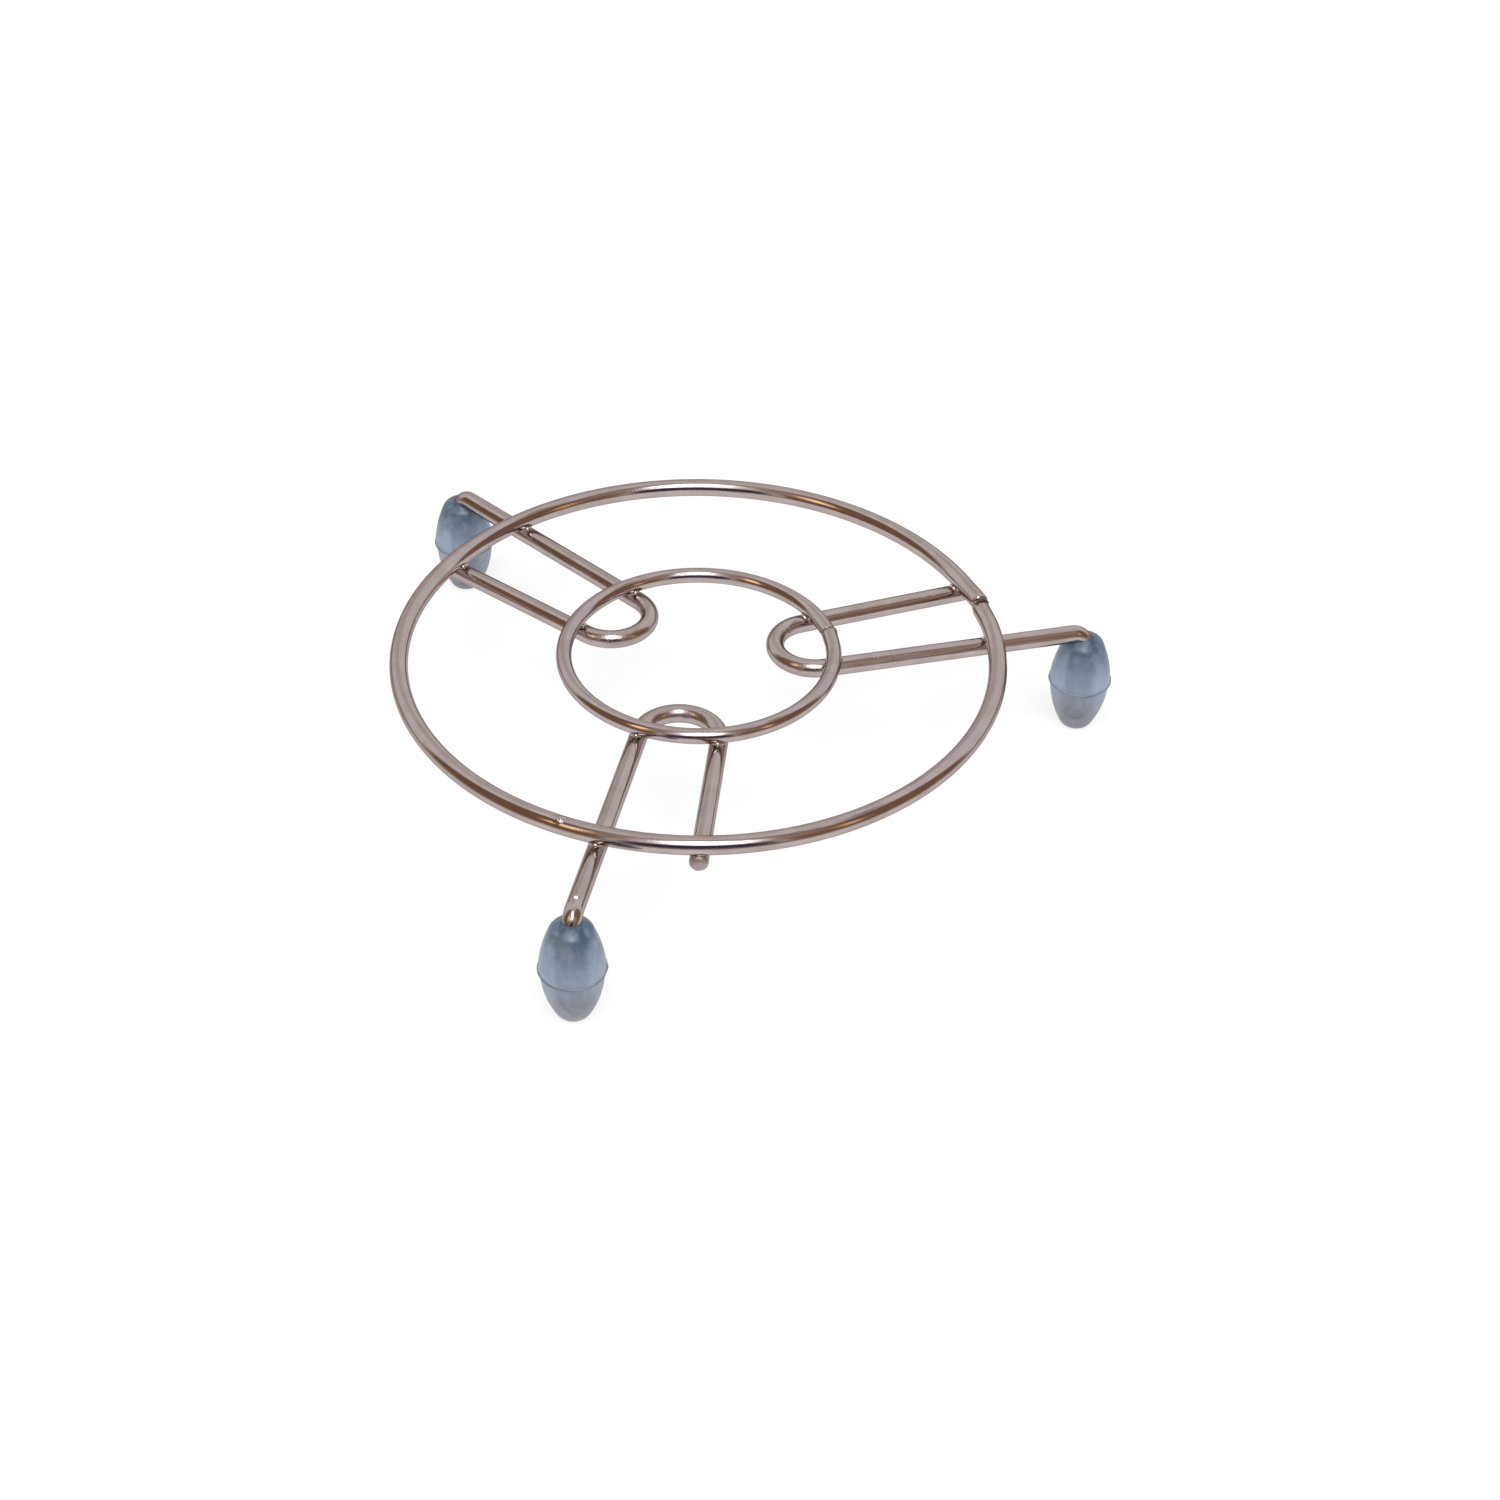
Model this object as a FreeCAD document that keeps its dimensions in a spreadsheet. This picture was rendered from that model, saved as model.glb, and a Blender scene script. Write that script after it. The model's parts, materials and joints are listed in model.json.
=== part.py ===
import FreeCAD, Part
import Sketcher
import math
import os

# A wire trivet: two butted rings of plated wire, welded on three hairpin legs with push-on plastic feet.
# The floor is at z = 0, and the origin is the middle of the rectangle that the trivet covers there.

# Driving sizes, in millimetres and degrees. A ring's diameter is taken at the middle of its wire.
# Bearings are turned from +X towards +Y, seen from above.
SIZES = {
    "outer_ring_diameter": 130.0,
    "outer_ring_wire": 4.0,
    "outer_ring_end_run": 4.0,
    "outer_ring_weld_gap": 0.3,
    "outer_ring_seam_bearing": 24.5,
    "inner_ring_diameter": 58.8,
    "inner_ring_wire": 3.4,
    "inner_ring_end_run": 3.0,
    "inner_ring_weld_gap": 0.45,
    "inner_ring_seam_bearing": 23.3,
    "butt_weld_inset": 0.15,
    "weld_set_down": 0.5,
    "outer_ring_weld_diameter": 3.6,
    "inner_ring_weld_diameter": 3.3,
    "leg_wire": 4.0,
    "hairpin_bend_radius": 8.5,
    "hairpin_bend_distance": 26.3,
    "arm_splay": 2.85,
    "short_arm_overrun": 2.2,
    "foot_distance": 60.2,
    "tail_bend_radius": 3.0,
    "cut_end_round": 0.9,
    "front_leg_bearing": 270.0,
    "right_leg_bearing": 25.0,
    "left_leg_bearing": 147.0,
    "foot_height": 22.6,
    "foot_parting_height": 12.0,
    "foot_upper_diameter": 13.7,
    "foot_upper_bulge": 30.0,
    "foot_lower_diameter": 13.1,
    "foot_lower_bulge": 24.0,
    "foot_base_diameter": 6.4,
    "foot_flash_width": 0.2,
    "foot_flash_thickness": 0.3,
    "foot_top_land": 0.85,
    "foot_edge_round": 1.0,
    "foot_floor_thickness": 3.2,
    "foot_bore_clearance": 0.05,
    "foot_mouth_clearance": 0.15,
    "foot_seat_gap": 0.3,
    "tail_end_gap": 0.1,
}

RINGS = ("outer", "inner")
LEGS = ("front", "right", "left")
UP = FreeCAD.Vector(0, 0, 1)
HORIZONTAL_AXIS, VERTICAL_AXIS = range(-1, -3, -1)
START, END, CENTRE = range(1, 4)
ORIGIN = (HORIZONTAL_AXIS, START)
ON_AXIS = "0"
SAME = 1e-6

doc = FreeCAD.newDocument("wire_trivet")
sheet = doc.addObject("Spreadsheet::Sheet", "sizes")
for row, (alias, value) in enumerate(SIZES.items(), start=1):
    sheet.set(f"A{row}", alias)
    sheet.set(f"B{row}", str(value))
    sheet.setAlias(f"B{row}", alias)
doc.recompute()

# Formulas on the sheet's cells for what follows from the sizes.
LEG_HEIGHT = "(sizes.foot_height + sizes.foot_seat_gap + sizes.leg_wire / 2)"
TAIL_DROP = f"({LEG_HEIGHT} - sizes.foot_floor_thickness - sizes.tail_end_gap)"
ARM_START_ALONG = "(sizes.hairpin_bend_distance - sizes.hairpin_bend_radius * sin(sizes.arm_splay))"
ARM_START_ACROSS = "(sizes.hairpin_bend_radius * cos(sizes.arm_splay))"
FOOT_ALONG = f"({ARM_START_ALONG} + sizes.foot_distance * cos(sizes.arm_splay))"
FOOT_ACROSS = f"({ARM_START_ACROSS} + sizes.foot_distance * sin(sizes.arm_splay))"
FLASH_RADIUS = "(sizes.foot_upper_diameter / 2 + sizes.foot_flash_width)"
RING_REACH = "((sizes.outer_ring_diameter + sizes.outer_ring_wire) / 2)"


def arm_crossing(ring):
    """Distance along a leg's arm, from the hairpin bend to the middle of a ring's wire over it."""
    straight = "(sizes.hairpin_bend_distance * cos(sizes.arm_splay))"
    start_squared = f"({ARM_START_ALONG} ^ 2 + {ARM_START_ACROSS} ^ 2)"
    radius = f"(sizes.{ring}_ring_diameter / 2)"
    return f"(sqrt({straight} ^ 2 - {start_squared} + {radius} ^ 2) - {straight})"


def turned(along, across, bearing):
    """X and Y of a point so far along a line at a bearing, and so far to the left of it."""
    x = f"({along} * cos({bearing}) - {across} * sin({bearing}))"
    y = f"({along} * sin({bearing}) + {across} * cos({bearing}))"
    return x, y


def place(piece, x, y, z, bearing="0"):
    """Ties a piece's place and turn to the sheet, measured from the axis of the rings."""
    base = f"vector(ring_axis.X + 1 mm * {x}; ring_axis.Y + 1 mm * {y}; 1 mm * {z})"
    piece.setExpression("Placement", f"placement({base}; rotation(vector(0; 0; 1); {bearing}))")


def new_sketch(body, name, role):
    """A sketch on one of its own body's origin planes."""
    sketch = body.newObject("Sketcher::SketchObject", name)
    plane = next(item for item in body.Origin.OriginFeatures if item.Role == role)
    sketch.AttachmentSupport = (plane, [""])
    sketch.MapMode = "FlatFace"
    return sketch


def flat(x, y):
    """A point in a sketch."""
    return FreeCAD.Vector(x, y, 0)


def dimension(sketch, name, formula, kind, *where):
    """A named dimension of a sketch, tied to the sheet."""
    index = sketch.addConstraint(Sketcher.Constraint(kind, *where, sheet.evalExpression(formula)))
    sketch.renameConstraint(index, name)
    sketch.setExpression(f"Constraints.{name}", formula)


def round_section(body, role, diameter, left=None):
    """A wire's round section, on the body's origin or so far to the left of it."""
    sketch = new_sketch(body, "section", role)
    shift = sheet.evalExpression(left) if left else 0
    sketch.addGeometry(Part.Circle(flat(-shift, 0), UP, sheet.evalExpression(diameter) / 2))
    dimension(sketch, "wire", diameter, "Diameter", 0)
    if left:
        sketch.addConstraint(Sketcher.Constraint("PointOnObject", 0, CENTRE, HORIZONTAL_AXIS))
        dimension(sketch, "left", left, "DistanceX", 0, CENTRE, *ORIGIN)
    else:
        sketch.addConstraint(Sketcher.Constraint("Coincident", 0, CENTRE, *ORIGIN))
    return sketch


def sweep(body, name, section, path):
    """The section carried along every edge of a path."""
    pipe = body.newObject("PartDesign::AdditivePipe", name)
    pipe.Profile = section
    pipe.Spine = (path, [f"Edge{number + 1}" for number in range(path.GeometryCount)])
    return pipe


def cut(name, piece, tool):
    """What is left of a piece where another one is taken out of it."""
    result = doc.addObject("Part::Cut", name)
    result.Base = piece
    result.Tool = tool
    result.Refine = False
    return result


# The rings' axis stands where the middle of the covered floor rectangle is the origin.
foot_x = {}
foot_y = {}
for leg in LEGS:
    foot_x[leg], foot_y[leg] = turned(FOOT_ALONG, f"(-{FOOT_ACROSS})", f"sizes.{leg}_leg_bearing")


def middle_of_reach(places):
    """Half way between the furthest points of rings and feet, along one direction."""
    ahead = "; ".join(f"{places[leg]} + {FLASH_RADIUS}" for leg in LEGS)
    behind = "; ".join(f"{places[leg]} - {FLASH_RADIUS}" for leg in LEGS)
    return f"(max({RING_REACH}; {ahead}) + min(-{RING_REACH}; {behind})) / 2"


ring_axis = doc.addObject("Part::Vertex", "ring_axis")
ring_axis.setExpression("X", f"-1 mm * {middle_of_reach(foot_x)}")
ring_axis.setExpression("Y", f"-1 mm * {middle_of_reach(foot_y)}")
doc.recompute()


# Rings: half of the wire runs from the far side round to its straight end run, and is mirrored.
def ring_height(ring):
    """Height of the middle of a ring's wire, which has sunk into the arms under it."""
    return f"({LEG_HEIGHT} + (sizes.leg_wire + sizes.{ring}_ring_wire) / 2 - sizes.weld_set_down)"


def ring_corner(ring):
    """Distance from the axis to the point where the two end runs would meet."""
    return f"sqrt((sizes.{ring}_ring_diameter / 2) ^ 2 + sizes.{ring}_ring_end_run ^ 2)"


def make_ring(ring):
    name = f"{ring}_ring"
    body = doc.addObject("PartDesign::Body", name)
    place(body, "0", "0", ring_height(ring), f"sizes.{name}_seam_bearing")
    radius_formula = f"sizes.{name}_diameter / 2"
    section = round_section(body, "XZ_Plane", f"sizes.{name}_wire", radius_formula)

    path = new_sketch(body, "half_round", "XY_Plane")
    radius = sheet.evalExpression(radius_formula)
    run = sheet.evalExpression(f"sizes.{name}_end_run")
    half_gap = f"sizes.{name}_weld_gap / 2"
    cut_end = flat(math.hypot(radius, run), -sheet.evalExpression(half_gap))
    turn = math.atan2(run, radius)
    round_part = Part.ArcOfCircle(Part.Circle(flat(0, 0), UP, radius), math.pi, 2 * math.pi - turn)
    path.addGeometry(round_part)
    path.addGeometry(Part.LineSegment(round_part.EndPoint, cut_end))
    path.addConstraint(Sketcher.Constraint("Coincident", 0, CENTRE, *ORIGIN))
    path.addConstraint(Sketcher.Constraint("PointOnObject", 0, START, HORIZONTAL_AXIS))
    path.addConstraint(Sketcher.Constraint("Tangent", 0, END, 1, START))
    dimension(path, "radius", radius_formula, "Radius", 0)
    dimension(path, "end_run", f"sizes.{name}_end_run - {half_gap}", "Distance", 1)
    corner_slope = f"cos(atan(2 * sizes.{name}_end_run / sizes.{name}_diameter))"
    dimension(path, "half_gap", f"{half_gap} * {corner_slope}", "DistanceY", 1, END, *ORIGIN)

    half = sweep(body, "half_ring", section, path)
    mirror = body.newObject("PartDesign::Mirrored", "other_half")
    mirror.Originals = [half]
    mirror.MirrorPlane = (section.AttachmentSupport[0][0], [""])
    body.Tip = mirror
    return body


def make_butt_weld(ring, ring_body):
    """The metal that fills the wedge between a ring's two cut ends, which gapes on the outside."""
    body = doc.addObject("PartDesign::Body", f"{ring}_butt_metal")
    place(body, "0", "0", ring_height(ring), f"sizes.{ring}_ring_seam_bearing")
    section = new_sketch(body, "plug", "XZ_Plane")
    corner = sheet.evalExpression(ring_corner(ring))
    width = f"sizes.{ring}_ring_wire - 2 * sizes.butt_weld_inset"
    section.addGeometry(Part.Circle(flat(corner, 0), UP, sheet.evalExpression(width) / 2))
    section.addConstraint(Sketcher.Constraint("PointOnObject", 0, CENTRE, HORIZONTAL_AXIS))
    dimension(section, "corner", ring_corner(ring), "DistanceX", *ORIGIN, 0, CENTRE)
    dimension(section, "width", width, "Diameter", 0)
    plug = body.newObject("PartDesign::Pad", "plug_length")
    plug.Profile = section
    plug.SideType = "Symmetric"
    end_slope = f"2 * sizes.{ring}_ring_end_run / sizes.{ring}_ring_diameter"
    gape = f"(sizes.{ring}_ring_weld_gap + 2 * sizes.{ring}_ring_wire * {end_slope})"
    plug.setExpression("Length", f"1 mm * {gape}")
    return cut(f"{ring}_ring_butt_weld", body, ring_body)


rings = {ring: make_ring(ring) for ring in RINGS}
butt_welds = {ring: make_butt_weld(ring, rings[ring]) for ring in RINGS}
both_rings = doc.addObject("Part::Compound", "both_rings")
both_rings.Links = list(rings.values())


# Legs: hairpins of wire, with saddles where the rings have sunk into their arms.
# A hairpin's own origin is where the long arm leaves the bend, with the long arm along +X.
def make_hairpin(leg):
    body = doc.addObject("PartDesign::Body", f"{leg}_hairpin")
    bearing = f"sizes.{leg}_leg_bearing"
    x, y = turned(ARM_START_ALONG, f"(-{ARM_START_ACROSS})", bearing)
    place(body, x, y, LEG_HEIGHT, f"{bearing} - sizes.arm_splay")
    section = round_section(body, "YZ_Plane", "sizes.leg_wire")

    tail = new_sketch(body, "long_arm_and_tail", "XZ_Plane")
    reach = sheet.evalExpression("sizes.foot_distance")
    bend = sheet.evalExpression("sizes.tail_bend_radius")
    drop = sheet.evalExpression(TAIL_DROP)
    tail.addGeometry(Part.LineSegment(flat(0, 0), flat(reach - bend, 0)))
    tail.addGeometry(Part.ArcOfCircle(Part.Circle(flat(reach - bend, -bend), UP, bend), 0, math.pi / 2))
    tail.addGeometry(Part.LineSegment(flat(reach, -bend), flat(reach, -drop)))
    tail.addConstraint(Sketcher.Constraint("Coincident", 0, START, *ORIGIN))
    tail.addConstraint(Sketcher.Constraint("Horizontal", 0))
    tail.addConstraint(Sketcher.Constraint("Tangent", 0, END, 1, END))
    tail.addConstraint(Sketcher.Constraint("Tangent", 1, START, 2, START))
    tail.addConstraint(Sketcher.Constraint("Vertical", 2))
    dimension(tail, "bend", "sizes.tail_bend_radius", "Radius", 1)
    dimension(tail, "reach", "sizes.foot_distance", "DistanceX", *ORIGIN, 2, END)
    dimension(tail, "drop", TAIL_DROP, "DistanceY", 2, END, *ORIGIN)
    sweep(body, "long_arm", section, tail)

    hairpin = new_sketch(body, "bend_and_short_arm", "XY_Plane")
    radius = sheet.evalExpression("sizes.hairpin_bend_radius")
    spread = math.radians(sheet.evalExpression("2 * sizes.arm_splay"))
    arm_length = f"{arm_crossing('outer')} + sizes.short_arm_overrun"
    bend_circle = Part.Circle(flat(0, radius), UP, radius)
    round_bend = Part.ArcOfCircle(bend_circle, math.pi / 2 + spread, 3 * math.pi / 2)
    arm_way = flat(math.cos(spread), math.sin(spread))
    arm_end = round_bend.StartPoint + arm_way * sheet.evalExpression(arm_length)
    hairpin.addGeometry(round_bend)
    hairpin.addGeometry(Part.LineSegment(round_bend.StartPoint, arm_end))
    hairpin.addConstraint(Sketcher.Constraint("Coincident", 0, END, *ORIGIN))
    hairpin.addConstraint(Sketcher.Constraint("PointOnObject", 0, CENTRE, VERTICAL_AXIS))
    hairpin.addConstraint(Sketcher.Constraint("Tangent", 0, START, 1, START))
    dimension(hairpin, "bend", "sizes.hairpin_bend_radius", "Radius", 0)
    dimension(hairpin, "spread", "2 * sizes.arm_splay", "Angle", HORIZONTAL_AXIS, 1, 1, START)
    dimension(hairpin, "length", arm_length, "Distance", 1)
    wire = sweep(body, "short_arm", section, hairpin)
    doc.recompute()

    ends = [face for face in wire.Shape.Faces if isinstance(face.Surface, Part.Plane)]
    rims = [edge for face in ends for edge in face.Edges]
    names = [f"Edge{number}" for number, edge in enumerate(wire.Shape.Edges, start=1)
             if any(edge.isSame(rim) for rim in rims)]
    rounding = body.newObject("PartDesign::Fillet", "rounded_ends")
    rounding.Base = (wire, names)
    rounding.setExpression("Radius", "sizes.cut_end_round")

    return body


hairpins = {leg: make_hairpin(leg) for leg in LEGS}
legs = {leg: cut(f"{leg}_leg", hairpins[leg], both_rings) for leg in LEGS}


# Welds of the rings on the arms: a collar of metal round each crossing, in the corner of the two wires.
def make_welds(ring):
    along = f"({ARM_START_ALONG} + {arm_crossing(ring)} * cos(sizes.arm_splay))"
    across = f"({ARM_START_ACROSS} + {arm_crossing(ring)} * sin(sizes.arm_splay))"
    flank = f"sqrt(max(0; (sizes.leg_wire / 2) ^ 2 - (sizes.{ring}_ring_weld_diameter / 2) ^ 2))"
    bottom = f"({LEG_HEIGHT} + {flank})"
    welds = []
    for leg in LEGS:
        for arm, side in (("short", across), ("long", f"(-{across})")):
            name = f"{ring}_{leg}_{arm}"
            collar = doc.addObject("Part::Cylinder", f"{name}_collar")
            collar.setExpression("Radius", f"sizes.{ring}_ring_weld_diameter / 2")
            collar.setExpression("Height", f"1 mm * ({ring_height(ring)} - {bottom})")
            place(collar, *turned(along, side, f"sizes.{leg}_leg_bearing"), bottom)
            over_arm = cut(f"{name}_collar_over_arm", collar, hairpins[leg])
            welds.append(cut(f"{name}_weld", over_arm, rings[ring]))
    group = doc.addObject("Part::Compound", f"{ring}_ring_welds")
    group.Links = welds
    return group


ring_welds = {ring: make_welds(ring) for ring in RINGS}


# Feet: one turned profile, with a blind bore for the leg's tail and a mouth that clears the leg's bend.
BORE_RADIUS = "(sizes.leg_wire / 2 + sizes.foot_bore_clearance)"
BEND_INSIDE = "(sizes.tail_bend_radius - sizes.leg_wire / 2)"
MOUTH_DEPTH = f"({BEND_INSIDE} - sizes.foot_seat_gap + sizes.foot_mouth_clearance)"
BEND_SINK = f"sqrt({BEND_INSIDE} ^ 2 - ({BEND_INSIDE} - sizes.foot_seat_gap) ^ 2)"
BEND_AT_MOUTH = f"(sizes.tail_bend_radius - {BEND_SINK})"
MOUTH_RADIUS = f"({BEND_AT_MOUTH} + sizes.foot_mouth_clearance)"
TOP_RADIUS = f"({MOUTH_RADIUS} + sizes.foot_top_land + sizes.foot_edge_round)"
FLASH_TOP = "(sizes.foot_parting_height + sizes.foot_flash_thickness)"
FOOT_PROFILE = (
    ("base", "sizes.foot_base_diameter / 2", ON_AXIS, None),
    ("parting", "sizes.foot_lower_diameter / 2", "sizes.foot_parting_height", "sizes.foot_lower_bulge"),
    ("flash_under", FLASH_RADIUS, "sizes.foot_parting_height", None),
    ("flash_over", FLASH_RADIUS, FLASH_TOP, None),
    ("shoulder", "sizes.foot_upper_diameter / 2", FLASH_TOP, None),
    ("top", TOP_RADIUS, "sizes.foot_height", "sizes.foot_upper_bulge"),
    ("mouth", MOUTH_RADIUS, "sizes.foot_height", None),
    ("bore", BORE_RADIUS, f"sizes.foot_height - {MOUTH_DEPTH}", None),
    ("bore_floor", BORE_RADIUS, "sizes.foot_floor_thickness", None),
    ("bore_middle", ON_AXIS, "sizes.foot_floor_thickness", None),
)


def bulged(start, end, radius):
    """The arc of a radius from one point to another, bulging away from the axis."""
    chord = end - start
    outwards = flat(chord.y, -chord.x).normalize()
    sagitta = radius - math.sqrt(radius ** 2 - (chord.Length / 2) ** 2)
    return Part.Arc(start, (start + end) / 2 + outwards * sagitta, end)


def make_foot(leg):
    body = doc.addObject("PartDesign::Body", f"{leg}_foot")
    place(body, foot_x[leg], foot_y[leg], "0", f"sizes.{leg}_leg_bearing")
    profile = new_sketch(body, "half_section", "XZ_Plane")
    last = flat(0, 0)
    joined_to = ORIGIN
    for name, across, up, bulge in FOOT_PROFILE:
        corner = flat(sheet.evalExpression(across), sheet.evalExpression(up))
        if bulge:
            side = profile.addGeometry(bulged(last, corner, sheet.evalExpression(bulge)))
            dimension(profile, f"{name}_bulge", bulge, "Radius", side)
        else:
            side = profile.addGeometry(Part.LineSegment(last, corner))
        profile.addConstraint(Sketcher.Constraint("Coincident", side, START, *joined_to))
        if across == ON_AXIS:
            profile.addConstraint(Sketcher.Constraint("PointOnObject", side, END, VERTICAL_AXIS))
        else:
            dimension(profile, f"{name}_across", across, "DistanceX", *ORIGIN, side, END)
        if up == ON_AXIS:
            profile.addConstraint(Sketcher.Constraint("PointOnObject", side, END, HORIZONTAL_AXIS))
        else:
            dimension(profile, f"{name}_up", up, "DistanceY", *ORIGIN, side, END)
        last = corner
        joined_to = (side, END)
    closing = profile.addGeometry(Part.LineSegment(last, flat(0, 0)))
    profile.addConstraint(Sketcher.Constraint("Coincident", closing, START, *joined_to))
    profile.addConstraint(Sketcher.Constraint("Coincident", closing, END, *ORIGIN))

    barrel = body.newObject("PartDesign::Revolution", "barrel")
    barrel.Profile = profile
    barrel.ReferenceAxis = (profile, ["V_Axis"])
    doc.recompute()

    rims = ((sheet.evalExpression("sizes.foot_base_diameter / 2"), 0),
            (sheet.evalExpression(TOP_RADIUS), sheet.evalExpression("sizes.foot_height")))
    names = []
    for number, edge in enumerate(barrel.Shape.Edges, start=1):
        if not isinstance(edge.Curve, Part.Circle):
            continue
        for radius, height in rims:
            same_height = math.isclose(edge.Curve.Center.z, height, abs_tol=SAME)
            if same_height and math.isclose(edge.Curve.Radius, radius, abs_tol=SAME):
                names.append(f"Edge{number}")
    rounding = body.newObject("PartDesign::Fillet", "rounded_rims")
    rounding.Base = (barrel, names)
    rounding.setExpression("Radius", "sizes.foot_edge_round")
    return body


feet = {leg: make_foot(leg) for leg in LEGS}

# Each sub-part is checked and written under its own name.
sub_parts = {}
for ring in RINGS:
    sub_parts[f"{ring}_ring"] = rings[ring]
    sub_parts[f"{ring}_ring_butt_weld"] = butt_welds[ring]
    sub_parts[f"{ring}_ring_welds"] = ring_welds[ring]
for leg in LEGS:
    sub_parts[f"{leg}_leg"] = legs[leg]
    sub_parts[f"{leg}_foot"] = feet[leg]

doc.recompute()
for item in doc.Objects:
    if "Invalid" in item.State or "Error" in item.State:
        raise RuntimeError(f"{item.Name} did not build: {item.State}")
os.makedirs("parts", exist_ok=True)
for name, piece in sub_parts.items():
    piece.Label = name
    if piece.Shape.isNull() or not piece.Shape.isValid():
        raise RuntimeError(f"{name} has no valid shape")
for name, piece in sub_parts.items():
    piece.Shape.exportStep(f"parts/{name}.step")
    print(f"{name}: {len(piece.Shape.Solids)} solids, {piece.Shape.Volume:.2f} cubic mm")
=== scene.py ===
import json
import math

import bpy
import numpy as np
from mathutils import Matrix, Vector, noise


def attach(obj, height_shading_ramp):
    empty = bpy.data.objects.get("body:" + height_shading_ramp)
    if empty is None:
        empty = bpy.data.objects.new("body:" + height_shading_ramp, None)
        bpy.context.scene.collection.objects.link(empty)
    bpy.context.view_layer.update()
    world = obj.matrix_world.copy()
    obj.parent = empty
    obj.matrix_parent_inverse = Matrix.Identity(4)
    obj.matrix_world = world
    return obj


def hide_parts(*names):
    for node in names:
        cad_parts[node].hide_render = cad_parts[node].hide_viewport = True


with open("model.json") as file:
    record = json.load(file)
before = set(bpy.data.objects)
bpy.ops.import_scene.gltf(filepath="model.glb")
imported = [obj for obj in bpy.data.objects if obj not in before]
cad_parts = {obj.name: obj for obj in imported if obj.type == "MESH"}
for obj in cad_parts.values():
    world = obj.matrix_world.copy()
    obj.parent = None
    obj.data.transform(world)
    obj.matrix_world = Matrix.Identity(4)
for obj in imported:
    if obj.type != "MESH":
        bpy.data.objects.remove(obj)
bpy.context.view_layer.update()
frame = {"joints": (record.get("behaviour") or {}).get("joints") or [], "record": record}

# Outer ring: the pot rest, one length of 4 mm steel wire bent round a former until its cut ends meet.
# It is nickel plated after welding. The draw marks of the wire show through the plate, and its one
# end stands a little proud of the other at the seam.
MM = 0.001
pot_rest = next(mount for mount in frame["record"]["mounts"] if mount["name"] == "pot_rest")
ring_axis = np.array(pot_rest["pos_m"][:2]) / MM
outer_ring_wire = 4.0
outer_ring_diameter = 130.0
outer_ring_height = pot_rest["pos_m"][2] / MM - outer_ring_wire / 2
blister_bearing = -106.3
blister_rise = math.radians(74)
bright_nickel = (0.475, 0.412, 0.402, 1)
dull_nickel = (0.345, 0.283, 0.27, 1)


def add_node(tree, kind, inputs=None, **settings):
    """A node with its settings and its inputs, each a plain value or another node's output."""
    made = tree.nodes.new(kind)
    for name, value in settings.items():
        setattr(made, name, value)
    for name, value in (inputs or {}).items():
        if isinstance(value, bpy.types.NodeSocket):
            tree.links.new(value, made.inputs[name])
        else:
            made.inputs[name].default_value = value
    return made


def add_sockets(tree, way, **kinds):
    """Named inputs or outputs of a node tree, in order. A name's underscores stand for spaces."""
    for name, kind in kinds.items():
        tree.interface.new_socket(name.replace("_", " "), in_out=way, socket_type=f"NodeSocket{kind}")


def reckon(tree, operation, *values):
    """What a sum comes to."""
    return add_node(tree, "ShaderNodeMath", dict(enumerate(values)), operation=operation).outputs[0]


def grade(tree, value, start, end, low=0.0, high=1.0, **settings):
    """A value that goes from low to high while the given one goes from start to end."""
    spans = {0: value, 1: start, 2: end, 3: low, 4: high}
    return add_node(tree, "ShaderNodeMapRange", spans, **settings).outputs[0]


def mottle(tree, place, waves, detail):
    """An uneven pattern over a place, with about so many waves to the metre."""
    return add_node(tree, "ShaderNodeTexNoise", {"Vector": place, "Scale": waves, "Detail": detail}).outputs[0]


def blend(tree, share, first, second):
    """Two colours blended, with this share of the second."""
    return add_node(tree, "ShaderNodeMix", {0: share, 6: first, 7: second}, data_type="RGBA").outputs[2]


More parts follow.
